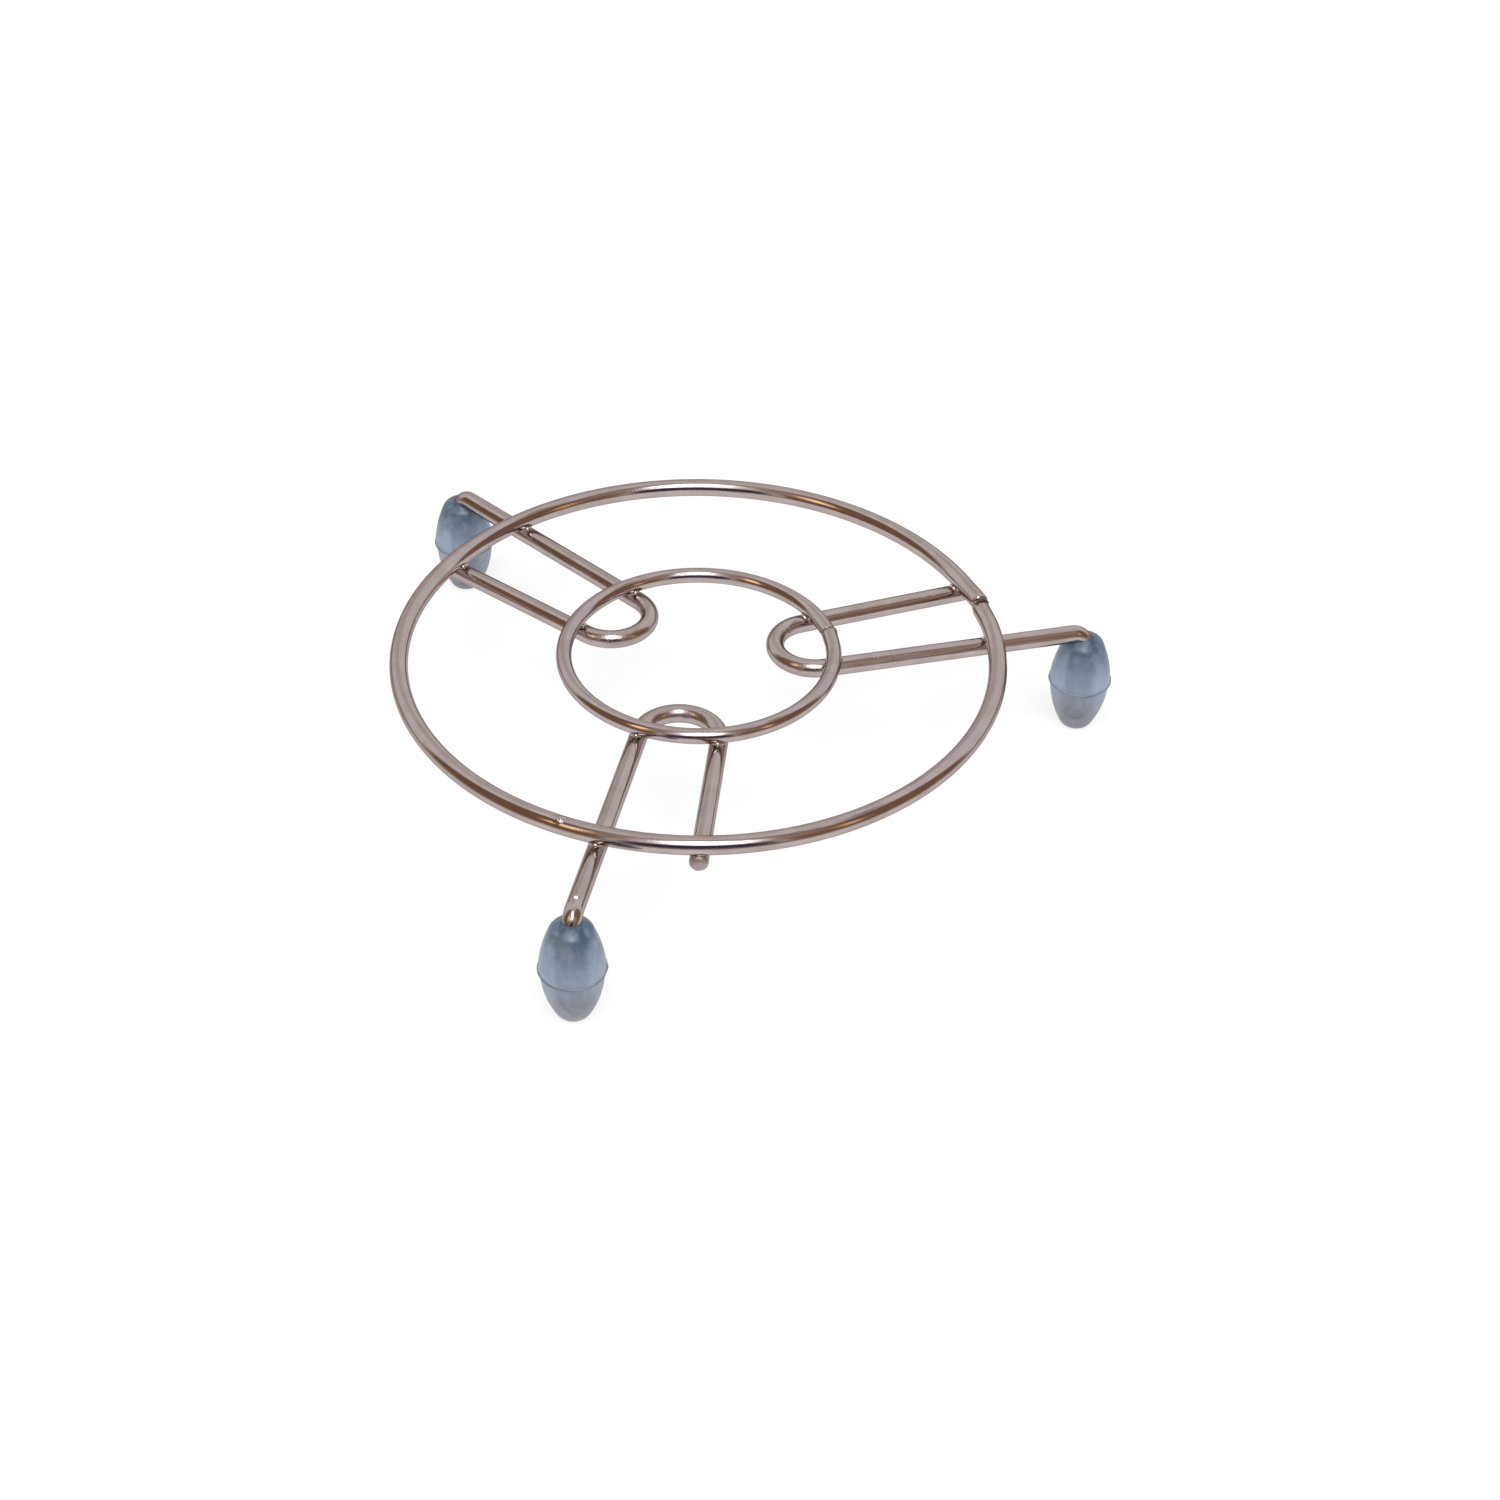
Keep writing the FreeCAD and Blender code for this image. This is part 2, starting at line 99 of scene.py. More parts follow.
def make_plating_marks():
    """Shader group: what drawing, plating and use leave on a wire, laid out along the straight wire."""
    group = bpy.data.node_groups.new("plating_marks", "ShaderNodeTree")
    add_sockets(group, "INPUT", Place_on_wire="Vector", Bright_plate="Color", Dull_plate="Color",
                Bright_roughness="Float", Dull_roughness="Float", Pitting="Float", Bent="Float")
    add_sockets(group, "OUTPUT", Colour="Color", Roughness="Float", Height="Float")
    given = group.nodes.new("NodeGroupInput").outputs
    place = given["Place on wire"]

    drawn_out = add_node(group, "ShaderNodeMapping", {"Vector": place, "Scale": (0.035, 1.0, 1.0)}).outputs[0]
    draw_marks = grade(group, mottle(group, drawn_out, 2400.0, 2.0), 0.42, 0.7)
    haze = mottle(group, place, 190.0, 3.0)
    patches = grade(group, mottle(group, place, 85.0, 2.0), 0.48, 0.62)
    specks = grade(group, mottle(group, place, 1500.0, 1.0), 0.68, 0.74)
    pits = reckon(group, "MULTIPLY", specks, patches)
    pits = reckon(group, "MULTIPLY", pits, given["Pitting"])
    peel = mottle(group, place, 2800.0, 1.0)
    peel_share = reckon(group, "MULTIPLY_ADD", patches, 0.5, 0.12)
    peel_share = reckon(group, "MULTIPLY_ADD", given["Bent"], 0.35, peel_share)

    dulling = reckon(group, "MULTIPLY_ADD", grade(group, haze, 0.35, 0.72), 0.45, pits)
    dulling = reckon(group, "MULTIPLY_ADD", draw_marks, 0.25, dulling)
    matting = reckon(group, "MULTIPLY_ADD", given["Bent"], 0.4, dulling)
    height = reckon(group, "MULTIPLY_ADD", draw_marks, -0.18, 0.5)
    height = reckon(group, "MULTIPLY_ADD", haze, 0.5, height)
    height = reckon(group, "MULTIPLY_ADD", pits, -0.5, height)
    height = reckon(group, "MULTIPLY_ADD", peel, peel_share, height)
    add_node(group, "NodeGroupOutput", {
        "Colour": blend(group, dulling, given["Bright plate"], given["Dull plate"]),
        "Roughness": grade(group, matting, 0.0, 1.0, given["Bright roughness"], given["Dull roughness"],
                           clamp=False),
        "Height": height})
    return group


plating_marks = make_plating_marks()


def plated_metal(name, bright, dull, bright_roughness, dull_roughness, pitting, relief):
    """A plated finish, with the wear group's values for this piece."""
    finish = bpy.data.materials.new(name)
    finish.use_nodes = True
    tree = finish.node_tree
    shader = tree.nodes["Principled BSDF"]
    place = add_node(tree, "ShaderNodeAttribute", attribute_name="straight_wire")
    bent = add_node(tree, "ShaderNodeAttribute", attribute_name="bent")
    marks = add_node(tree, "ShaderNodeGroup", {
        "Place on wire": place.outputs["Vector"], "Bent": bent.outputs["Fac"], "Bright plate": bright,
        "Dull plate": dull, "Bright roughness": bright_roughness, "Dull roughness": dull_roughness,
        "Pitting": pitting}, node_tree=plating_marks)
    bump = add_node(tree, "ShaderNodeBump", {"Height": marks.outputs["Height"], "Strength": 0.5,
                                             "Distance": relief * MM})
    tree.links.new(marks.outputs["Colour"], shader.inputs["Base Color"])
    tree.links.new(marks.outputs["Roughness"], shader.inputs["Roughness"])
    tree.links.new(bump.outputs[0], shader.inputs["Normal"])
    shader.inputs["Metallic"].default_value = 1.0
    shader.inputs["Specular Tint"].default_value = (0.60, 0.53, 0.52, 1.0)
    return finish


plated_wire = plated_metal("plated_wire", bright_nickel, dull_nickel, bright_roughness=0.07, dull_roughness=0.24,
                           pitting=0.8, relief=0.03)


def make_bent_wire():
    """Node tree: a round wire along its middle line. Each point remembers where it lay on the straight wire."""
    tree = bpy.data.node_groups.new("bent_wire", "GeometryNodeTree")
    add_sockets(tree, "INPUT", Middle_line="Geometry", Wire_diameter="Float", Sides="Int", Finish="Material")
    add_sockets(tree, "OUTPUT", Wire="Geometry")
    given = tree.nodes.new("NodeGroupInput").outputs
    line = add_node(tree, "GeometryNodeMeshToCurve", {"Mesh": given["Middle line"]})
    along = add_node(tree, "GeometryNodeCaptureAttribute", {"Geometry": line.outputs[0]}, domain="POINT")
    along.capture_items.new("FLOAT", "Along")
    tree.links.new(add_node(tree, "GeometryNodeSplineParameter").outputs["Length"], along.inputs["Along"])
    radius = reckon(tree, "MULTIPLY", given["Wire diameter"], 0.5)
    circle = add_node(tree, "GeometryNodeCurvePrimitiveCircle", {"Resolution": given["Sides"], "Radius": radius})
    section = add_node(tree, "GeometryNodeCaptureAttribute", {"Geometry": circle.outputs[0]}, domain="POINT")
    section.capture_items.new("VECTOR", "Section")
    tree.links.new(add_node(tree, "GeometryNodeInputPosition").outputs[0], section.inputs["Section"])
    fullness = add_node(tree, "GeometryNodeInputNamedAttribute", {"Name": "fullness"}, data_type="FLOAT")
    tube = add_node(tree, "GeometryNodeCurveToMesh", {
        "Curve": along.outputs[0], "Profile Curve": section.outputs[0], "Scale": fullness.outputs[0],
        "Fill Caps": True})
    across = add_node(tree, "ShaderNodeSeparateXYZ", {0: section.outputs["Section"]}).outputs
    place = add_node(tree, "ShaderNodeCombineXYZ", {0: along.outputs["Along"], 1: across[0], 2: across[1]})
    stored = add_node(tree, "GeometryNodeStoreNamedAttribute", {
        "Geometry": tube.outputs[0], "Name": "straight_wire", "Value": place.outputs[0]},
        data_type="FLOAT_VECTOR", domain="POINT")
    smooth = add_node(tree, "GeometryNodeSetShadeSmooth", {"Geometry": stored.outputs[0]})
    solid = add_node(tree, "GeometryNodeRealizeInstances", {"Geometry": smooth.outputs[0]})
    finished = add_node(tree, "GeometryNodeSetMaterial", {"Geometry": solid.outputs[0],
                                                          "Material": given["Finish"]})
    add_node(tree, "NodeGroupOutput", {"Wire": finished.outputs[0]})
    return tree


bent_wire = make_bent_wire()


def settled(name, base, tree, **values):
    """A new object at the origin with the plain mesh that a node tree makes of a base mesh."""
    worker = bpy.data.objects.new(f"{name}_worker", base)
    bpy.context.scene.collection.objects.link(worker)
    modifier = worker.modifiers.new("shape", "NODES")
    modifier.node_group = tree
    sockets = {item.name: item.identifier for item in tree.interface.items_tree if item.in_out == "INPUT"}
    for key, value in values.items():
        modifier[sockets[key.replace("_", " ")]] = value
    graph = bpy.context.evaluated_depsgraph_get()
    mesh = bpy.data.meshes.new_from_object(worker.evaluated_get(graph), preserve_all_data_layers=True,
                                           depsgraph=graph)
    bpy.data.objects.remove(worker)
    bpy.data.meshes.remove(base)
    mesh.name = name
    piece = bpy.data.objects.new(name, mesh)
    bpy.context.scene.collection.objects.link(piece)
    return piece


def make_wire(name, middle_line, diameter, end_round, end_wear, sides, finish):
    """A piece of wire along a line of points in millimetres, with its cut ends rounded off. Tight bends and
    the ends are duller than the rest."""
    end_clearance = 0.1
    least_step = 0.05
    worn_past_end = 0.3
    fully_bent = 0.45
    line = np.array(middle_line, float)
    steps = np.linalg.norm(np.diff(line, axis=0), axis=1)
    run = np.concatenate([[0.0], np.cumsum(steps)])
    angles = np.radians([90.0, 75.0, 60.0, 45.0, 30.0, 15.0, 0.0])
    inset = end_round * (1 - np.sin(angles))
    narrow = 1 - (end_round / (diameter / 2)) * (1 - np.cos(angles))
    between = run[(run > end_round + end_clearance) & (run < run[-1] - end_round - end_clearance)]
    places = np.concatenate([inset, between, (run[-1] - inset)[::-1]])
    fullness = np.concatenate([narrow, np.ones(len(between)), narrow[::-1]])
    points = np.stack([np.interp(places, run, line[:, axis]) for axis in range(3)], axis=1) * MM
    base = bpy.data.meshes.new(f"{name}_line")
    base.from_pydata(points.tolist(), [(i, i + 1) for i in range(len(points) - 1)], [])
    base.attributes.new("fullness", "FLOAT", "POINT").data.foreach_set("value", fullness)
    ways = np.diff(points, axis=0)
    ways /= np.linalg.norm(ways, axis=1)[:, None]
    turning = np.arccos(np.clip((ways[1:] * ways[:-1]).sum(axis=1), -1.0, 1.0))
    tightness = np.pad(turning * diameter / np.maximum(np.diff(places)[1:], least_step), 1)
    bent = np.convolve(np.clip(tightness / fully_bent, 0.0, 1.0), np.ones(5) / 5, mode="same")
    bent[(places < end_round + worn_past_end) | (places > run[-1] - end_round - worn_past_end)] = end_wear
    base.attributes.new("bent", "FLOAT", "POINT").data.foreach_set("value", bent)
    return settled(name, base, bent_wire, Wire_diameter=diameter * MM, Sides=sides, Finish=finish)


def turned(along, across, bearing):
    """A point so far along a line at a bearing, and so far to the left of it. Whole rows of points turn too."""
    return np.array([along * math.cos(bearing) - across * math.sin(bearing),
                     along * math.sin(bearing) + across * math.cos(bearing)])


def eased(share):
    """A smooth step from 0 to 1."""
    share = np.clip(share, 0.0, 1.0)
    return share * share * (3 - 2 * share)


def ring_line(diameter, height, end_run, weld_gap, seam_bearing, step, proud, low, reach, mark=None):
    """The middle line of a butted ring. Over this reach the end that lies beyond the seam bearing stands proud,
    and the other low. Its points are close together at the bearing of a mark."""
    mark_reach = 1.6
    radius = diameter / 2
    corner = math.atan2(end_run, radius)
    round_part = np.linspace(corner, 2 * math.pi - corner, int(360 / step))
    if mark is not None:
        spot = math.radians(mark - seam_bearing) % (2 * math.pi)
        round_part = np.union1d(round_part, spot + np.linspace(-mark_reach, mark_reach, 25) / radius)
    arc = np.stack([radius * np.cos(round_part), radius * np.sin(round_part)], axis=1)
    tip = np.array([math.hypot(radius, end_run), 0.0])
    share = np.linspace(weld_gap / 2 / end_run, 1.0, 10)[:-1, None]
    flat = np.concatenate([tip + (arc[0] - tip) * share, arc, (tip + (arc[-1] - tip) * share)[::-1]])
    run = np.concatenate([[0.0], np.cumsum(np.linalg.norm(np.diff(flat, axis=0), axis=1))])
    lift = proud * (1 - eased(run / reach)) - low * (1 - eased((run[-1] - run) / reach))
    x, y = turned(flat[:, 0], flat[:, 1], math.radians(seam_bearing))
    return np.stack([ring_axis[0] + x, ring_axis[1] + y, height + lift], axis=1)


outer_line = ring_line(outer_ring_diameter, outer_ring_height, end_run=4.0, weld_gap=0.3, seam_bearing=24.5,
                       step=0.9, proud=0.7, low=0.35, reach=8.0, mark=blister_bearing)
outer_ring = make_wire("outer_ring_wire", outer_line, outer_ring_wire, end_round=0.75, end_wear=0.4, sides=64,
                       finish=plated_wire)


def raise_blister(piece, spot, reach, lift, unevenness):
    """Lifts a wire's surface round a spot, given in millimetres, unevenly."""
    lumps_per_metre = 2600
    centre = Vector(spot) * MM
    normals = [vertex.normal.copy() for vertex in piece.data.vertices]
    for vertex, normal in zip(piece.data.vertices, normals):
        away = (vertex.co - centre).length / (reach * MM)
        if away < 1:
            fade = (1 - away * away) ** 2
            vertex.co += normal * fade * (lift + unevenness * noise.noise(vertex.co * lumps_per_metre)) * MM


blister_distance = (outer_ring_diameter + outer_ring_wire * math.cos(blister_rise)) / 2
blister_spot = (*(ring_axis + turned(blister_distance, 0.0, math.radians(blister_bearing))),
                outer_ring_height + outer_ring_wire / 2 * math.sin(blister_rise))
raise_blister(outer_ring, blister_spot, reach=1.3, lift=0.28, unevenness=0.4)
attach(outer_ring, "wire_frame")
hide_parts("outer_ring")

# Inner ring: a second, smaller circle of 3.4 mm wire inside the first, its crown just below the outer one's.
# It carries a small pot and stops the hairpins from spreading. Its ends are butted and welded too.
inner_ring_wire = 3.4
inner_ring_diameter = 58.8
inner_ring_height = 28.1
inner_line = ring_line(inner_ring_diameter, inner_ring_height, end_run=3.0, weld_gap=0.45, seam_bearing=23.3,
                       step=1.5, proud=0.1, low=0.05, reach=5.0)
inner_ring = make_wire("inner_ring_wire", inner_line, inner_ring_wire, end_round=0.2, end_wear=0.4, sides=44,
                       finish=plated_wire)
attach(inner_ring, "wire_frame")
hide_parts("inner_ring")

# Butt welds: the dull metal that was pressed out between a ring's two cut ends when they were welded.
# It stays a little below the wire's own surface, lumpy and dark, and the plate is thin on it.
weld_metal = plated_metal("weld_metal", bright=(0.36, 0.33, 0.26, 1), dull=(0.14, 0.12, 0.075, 1),
                          bright_roughness=0.12, dull_roughness=0.4, pitting=1.0, relief=0.06)


def make_butt_weld(name, line, wire, inset, burr):
    """The lump between the two ends of a ring's line, with a burr on the side away from the axis."""
    overlap = 0.45
    core = 0.2
    lump_height = 0.1
    lumps_per_metre = 1600
    start, end = line[0], line[-1]
    gap = np.linalg.norm(end - start)
    across = (end - start) / gap
    middle = (start + end) / 2
    steps = np.linspace(-0.5, 0.5, 9)[:, None]
    piece = make_wire(name, middle + across * steps * (gap + 2 * overlap), wire - 2 * inset, end_round=0.15,
                      end_wear=1.0, sides=28, finish=weld_metal)
    outwards = middle - np.append(ring_axis, middle[2])
    outwards = Vector(outwards / np.linalg.norm(outwards))
    centre = Vector(middle) * MM
    for vertex in piece.data.vertices:
        radial = vertex.co - centre
        radial -= Vector(across) * radial.dot(Vector(across))
        if radial.length > core * MM:
            way = radial.normalized()
            lump = lump_height * noise.noise(vertex.co * lumps_per_metre)
            vertex.co += way * (lump + burr * max(0.0, way.dot(outwards)) ** 3) * MM
    return piece


# Each ring's line, its wire and how far the burr stands out.
seams = {"outer": (outer_line, outer_ring_wire, 0.0), "inner": (inner_line, inner_ring_wire, 0.3)}
for ring, (line, wire, burr) in seams.items():
    butt_weld = make_butt_weld(f"{ring}_ring_butt_bead", line, wire, inset=0.15, burr=burr)
    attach(butt_weld, "wire_frame")
    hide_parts(f"{ring}_ring_butt_weld")

# Hairpin legs: three lengths of 4 mm wire, each bent to a U under the rings. The short arm stops under the
# outer ring, and the long arm runs on, bends down and ends inside a foot. The rings are welded on top, and
# the plate is rougher than theirs.
leg_wire = 4.0
leg_height = 24.9
leg_bearings = {"front": math.radians(270.0), "right": math.radians(25.0), "left": math.radians(147.0)}
hairpin_distance = 26.3
hairpin_radius = 8.5
arm_splay = math.radians(2.85)
arm_start = (hairpin_distance - hairpin_radius * math.sin(arm_splay), hairpin_radius * math.cos(arm_splay))
foot_distance = 60.2
tail_bend = 3.0
tail_end_height = 3.3
spatter_along = 56.2
spatter_reach = 1.0
spatter_rise = math.radians(88)
leg_plate = plated_metal("leg_plate", bright_nickel, dull_nickel, bright_roughness=0.08, dull_roughness=0.27,
                         pitting=1.0, relief=0.055)


def arm_crossing(ring_diameter):
    """Distance along an arm, from where it leaves the hairpin bend to the middle of a ring's wire over it."""
    straight = hairpin_distance * math.cos(arm_splay)
    start_squared = arm_start[0] ** 2 + arm_start[1] ** 2
    return math.sqrt(straight ** 2 - start_squared + (ring_diameter / 2) ** 2) - straight


short_arm_overrun = 2.2
short_arm = arm_crossing(outer_ring_diameter) + short_arm_overrun


def hairpin_line(bearing):
    """The middle line of a leg, from the end of its tail in the foot to the end of its short arm."""
    drop = tail_end_height - leg_height
    tail = [(foot_distance, 0.0, drop + share * (-tail_bend - drop)) for share in np.linspace(0, 1, 16)]
    corner = [(foot_distance - tail_bend + tail_bend * math.cos(turn), 0.0,
               -tail_bend + tail_bend * math.sin(turn)) for turn in np.linspace(0, math.pi / 2, 19)[1:]]
    arm_steps = np.union1d(np.linspace(0, foot_distance - tail_bend, 50),
                           spatter_along + 0.9 * spatter_reach * np.linspace(-1, 1, 28))
    long_arm = [(step, 0.0, 0.0) for step in arm_steps[-2::-1]]
    bend = [(hairpin_radius * math.cos(turn), hairpin_radius * (1 + math.sin(turn)), 0.0)
            for turn in np.linspace(1.5 * math.pi, math.pi / 2 + 2 * arm_splay, 64)[1:]]
    way = (math.cos(2 * arm_splay), math.sin(2 * arm_splay))
    arm = [(bend[-1][0] + way[0] * length, bend[-1][1] + way[1] * length, 0.0)
           for length in np.linspace(0, short_arm, 36)[1:]]
    line = np.array(tail + corner + long_arm + bend + arm)
    start = ring_axis + turned(arm_start[0], -arm_start[1], bearing)
    x, y = turned(line[:, 0], line[:, 1], bearing - arm_splay)
    return np.stack([start[0] + x, start[1] + y, leg_height + line[:, 2]], axis=1)


def add_spatter(piece, spot, way):
    """A flat drop of weld spatter on a wire. It rises steeply, and its face slopes down along the wire."""
    face_height, face_fall, face_lean = 0.08, 0.8, 0.2
    back_height, back_rise, back_place = 0.34, 2.5, -0.34
    side_height, side_fall, half_width = 0.4, 0.5, 0.65
    centre = Vector(spot) * MM
    across = Vector(way).cross(Vector((0, 0, 1)))
    for vertex in piece.data.vertices:
        offset = (vertex.co - centre) / MM
        along, aside = offset.dot(Vector(way)), offset.dot(across)
        if offset.length < spatter_reach:
            face = face_height - face_fall * along + face_lean * aside
            back = back_height + back_rise * (along - back_place)
            side = side_height - side_fall * (aside / half_width) ** 4
            vertex.co.z = max(vertex.co.z, centre.z + min(face, back, side) * MM)


for side, bearing in leg_bearings.items():
    leg = make_wire(f"{side}_leg_wire", hairpin_line(bearing), leg_wire, end_round=1.25, end_wear=5.0, sides=72,
                    finish=leg_plate)
    if side == "front":
        arm_bearing = bearing - arm_splay
        spatter = ring_axis + turned(arm_start[0], -arm_start[1], bearing)
        spatter += turned(spatter_along, leg_wire / 2 * math.cos(spatter_rise), arm_bearing)
        add_spatter(leg, (*spatter, leg_height + leg_wire / 2 * math.sin(spatter_rise)),
                    (*turned(1, 0, arm_bearing), 0.0))
    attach(leg, "wire_frame")
    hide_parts(f"{side}_leg")

# Welds of the rings on the arms: at each of the twelve crossings the hot wires were pressed half a millimetre
# into each other, and a little metal came out into the corner round the crossing before all of it was plated.
set_down = 0.5
collar_slope = 0.42
collar_thickness = 0.2
collar_spread = 0.06
# Each ring's diameter, the reach of its collars and their seed.
ring_welds = {"outer": (outer_ring_diameter, 1.95, 4), "inner": (inner_ring_diameter, 1.75, 9)}
# The beads' plate is brighter than the wire's, a painted highlight: it makes the small glints on the welds whiter.
bead_plate_painted_glint = plated_metal("bead_plate_painted_glint", bright=(0.74, 0.69, 0.64, 1), dull=(0.44, 0.38, 0.35, 1),
                          bright_roughness=0.05, dull_roughness=0.2, pitting=0.5, relief=0.02)


def make_crossing_welds():
    """Node tree: one collar of weld metal at each crossing, each a little different in size."""
    tree = bpy.data.node_groups.new("crossing_welds", "GeometryNodeTree")
    add_sockets(tree, "INPUT", Crossings="Geometry", Collar="Object", Size_spread="Float", Seed="Int",
                Finish="Material")
    add_sockets(tree, "OUTPUT", Welds="Geometry")
    given = tree.nodes.new("NodeGroupInput").outputs
    collar = add_node(tree, "GeometryNodeObjectInfo", {"Object": given["Collar"]})
    turn = add_node(tree, "GeometryNodeInputNamedAttribute", {"Name": "arm_turn"}, data_type="FLOAT")
    rotation = add_node(tree, "ShaderNodeCombineXYZ", {2: turn.outputs[0]})
    smallest = reckon(tree, "SUBTRACT", 1.0, given["Size spread"])
    size = add_node(tree, "FunctionNodeRandomValue", {2: smallest, 3: 1.0, "Seed": given["Seed"]},
                    data_type="FLOAT").outputs[1]
    scale = add_node(tree, "ShaderNodeCombineXYZ", {0: size, 1: size, 2: 1.0})
    beads = add_node(tree, "GeometryNodeInstanceOnPoints", {
        "Points": given["Crossings"], "Instance": collar.outputs["Geometry"], "Rotation": rotation.outputs[0],
        "Scale": scale.outputs[0]})
    solid = add_node(tree, "GeometryNodeRealizeInstances", {"Geometry": beads.outputs[0]})
    finished = add_node(tree, "GeometryNodeSetMaterial", {"Geometry": solid.outputs[0],
                                                          "Material": given["Finish"]})
    add_node(tree, "NodeGroupOutput", {"Welds": finished.outputs[0]})
    return tree


crossing_welds = make_crossing_welds()


def make_collar(name, reach):
    """One weld: a bead round the crossing of an arm, along X, and a ring over it, along Y. Its face slopes from
    the ring down to the arm, and it is thinner beside the arm."""
    columns, rows = 96, 24
    over_arm = leg_wire / 2 + 0.25
    beside_arm = leg_wire / 2 - set_down - 0.1
    size_beside_arm = 0.4
    reach_beside_arm = 0.8
    face_fall = math.radians(44)
    points = []
    for turn in np.linspace(0, 2 * math.pi, columns, endpoint=False):
        along_arm = math.cos(turn) ** 2
        middle = beside_arm + (over_arm - beside_arm) * along_arm
        size = size_beside_arm + (1 - size_beside_arm) * along_arm ** 3
        distance = reach * (reach_beside_arm + (1 - reach_beside_arm) * along_arm)
        for around in np.linspace(0, 2 * math.pi, rows, endpoint=False):
            down = collar_slope * size * math.cos(around)
            proud = collar_thickness * size * math.sin(around)
            out = distance + down * math.cos(face_fall) + proud * math.sin(face_fall)
            up = middle - down * math.sin(face_fall) + proud * math.cos(face_fall)
            points.append((out * math.cos(turn) * MM, out * math.sin(turn) * MM, up * MM))
    faces = [(column * rows + row, (column + 1) % columns * rows + row,
              (column + 1) % columns * rows + (row + 1) % rows, column * rows + (row + 1) % rows)
             for column in range(columns) for row in range(rows)]
    mesh = bpy.data.meshes.new(name)
    mesh.from_pydata(points, [], faces)
    mesh.shade_smooth()
    place = mesh.attributes.new("straight_wire", "FLOAT_VECTOR", "POINT")
    place.data.foreach_set("vector", np.array(points).ravel())
    collar = bpy.data.objects.new(name, mesh)
    bpy.context.scene.collection.objects.link(collar)
    return collar


def keep_on_arm(welds, crossing, turn):
    """Draws a weld's outer side back towards its crossing, because a short arm ends close behind it."""
    reach = 5.0
    drawn_back = 0.35
    outwards = Vector((math.cos(turn), math.sin(turn), 0.0))
    for vertex in welds.data.vertices:
        offset = vertex.co - Vector(crossing)
        if offset.length < reach * MM and offset.dot(outwards) > 0:
            vertex.co -= outwards * drawn_back * offset.dot(outwards)


for ring, (diameter, reach, seed) in ring_welds.items():
    away = arm_crossing(diameter)
    along = arm_start[0] + away * math.cos(arm_splay)
    aside = arm_start[1] + away * math.sin(arm_splay)
    crossings = []
    turns = []
    for bearing in leg_bearings.values():
        for side in (1, -1):
            crossings.append((*(ring_axis + turned(along, side * aside, bearing)) * MM, leg_height * MM))
            turns.append(bearing + side * arm_splay)
    base = bpy.data.meshes.new(f"{ring}_crossings")
    base.from_pydata(crossings, [], [])
    base.attributes.new("arm_turn", "FLOAT", "POINT").data.foreach_set("value", turns)
    collar = make_collar(f"{ring}_collar", reach)
    welds = settled(f"{ring}_ring_weld_collars", base, crossing_welds, Collar=collar, Size_spread=collar_spread,
                    Seed=seed, Finish=bead_plate_painted_glint)
    bpy.data.objects.remove(collar)
    if ring == "outer":
        for crossing, turn in zip(crossings[::2], turns[::2]):
            keep_on_arm(welds, crossing, turn)
    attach(welds, "wire_frame")
    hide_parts(f"{ring}_ring_welds")

# Feet: barrel-shaped caps of soft see-through plastic, moulded in two halves and pushed on to the tails.
# The halves don't quite match: the upper one is wider, and a thin ragged flash is left at the parting line.
foot_height = 22.6
parting_height = 12.0
base_radius = 3.2
lower_radius = 6.55
upper_radius = 6.85
flash_radius = 7.05
flash_thickness = 0.3
shoulder_radius = 4.286
bore_radius = 1.98
bore_floor = 3.2
foot_joints = {side: next(joint for joint in frame["joints"] if joint["child"] == f"{side}_foot")
               for side in leg_bearings}


def bulged(start, end, radius, steps):
    """Points of an arc from one point of a half section to another, bulging away from the axis."""
    start, end = np.array(start), np.array(end)
    chord = end - start
    length = np.linalg.norm(chord)
    outwards = np.array([chord[1], -chord[0]]) / length
    centre = (start + end) / 2 - outwards * math.sqrt(radius ** 2 - (length / 2) ** 2)
    first = math.atan2(*(start - centre)[::-1])
    last = math.atan2(*(end - centre)[::-1])
    return [tuple(centre + radius * np.array([math.cos(turn), math.sin(turn)]))
            for turn in np.linspace(first, last, steps)]


def eased_corner(before, corner, after, steps=7):
    """A rounded corner of a half section."""
    before, corner, after = np.array(before), np.array(corner), np.array(after)
    return [tuple((1 - share) ** 2 * before + 2 * share * (1 - share) * corner + share ** 2 * after)
            for share in np.linspace(0, 1, steps)]


def foot_section():
    """Half section of a foot, from the middle of its base up the outside, and down the bore to its middle."""
    lower = bulged((base_radius, 0.0), (lower_radius, parting_height), radius=24.0, steps=26)
    upper = bulged((upper_radius, parting_height + flash_thickness), (shoulder_radius, foot_height), radius=30.0,
                   steps=26)
    flash = [(upper_radius, 0.0), (flash_radius - 0.05, 0.04), (flash_radius, 0.15), (flash_radius - 0.05, 0.26)]
    lip = [(3.3, 0.66), (2.8, 1.0), (2.4, 1.25)]
    lip += eased_corner((2.1, 1.43), (1.6, 1.68), (1.48, 1.3), steps=6)
    lip += [(1.75, 0.7)]
    section = [(0.0, 0.0), (1.3, 0.0)]
    section += eased_corner((2.55, 0.0), (base_radius, 0.0), lower[2])
    section += lower[3:]
    section += [(across, parting_height + up) for across, up in flash]
    section += upper[:-3]
    section += eased_corner(upper[-3], (4.3, foot_height), (3.7, foot_height + 0.38))
    section += [(across, foot_height + up) for across, up in lip]
    section += [(bore_radius, up) for up in np.linspace(foot_height, bore_floor + 0.15, 14)]
    section += [(1.9, bore_floor), (1.0, bore_floor), (0.0, bore_floor)]
    return section


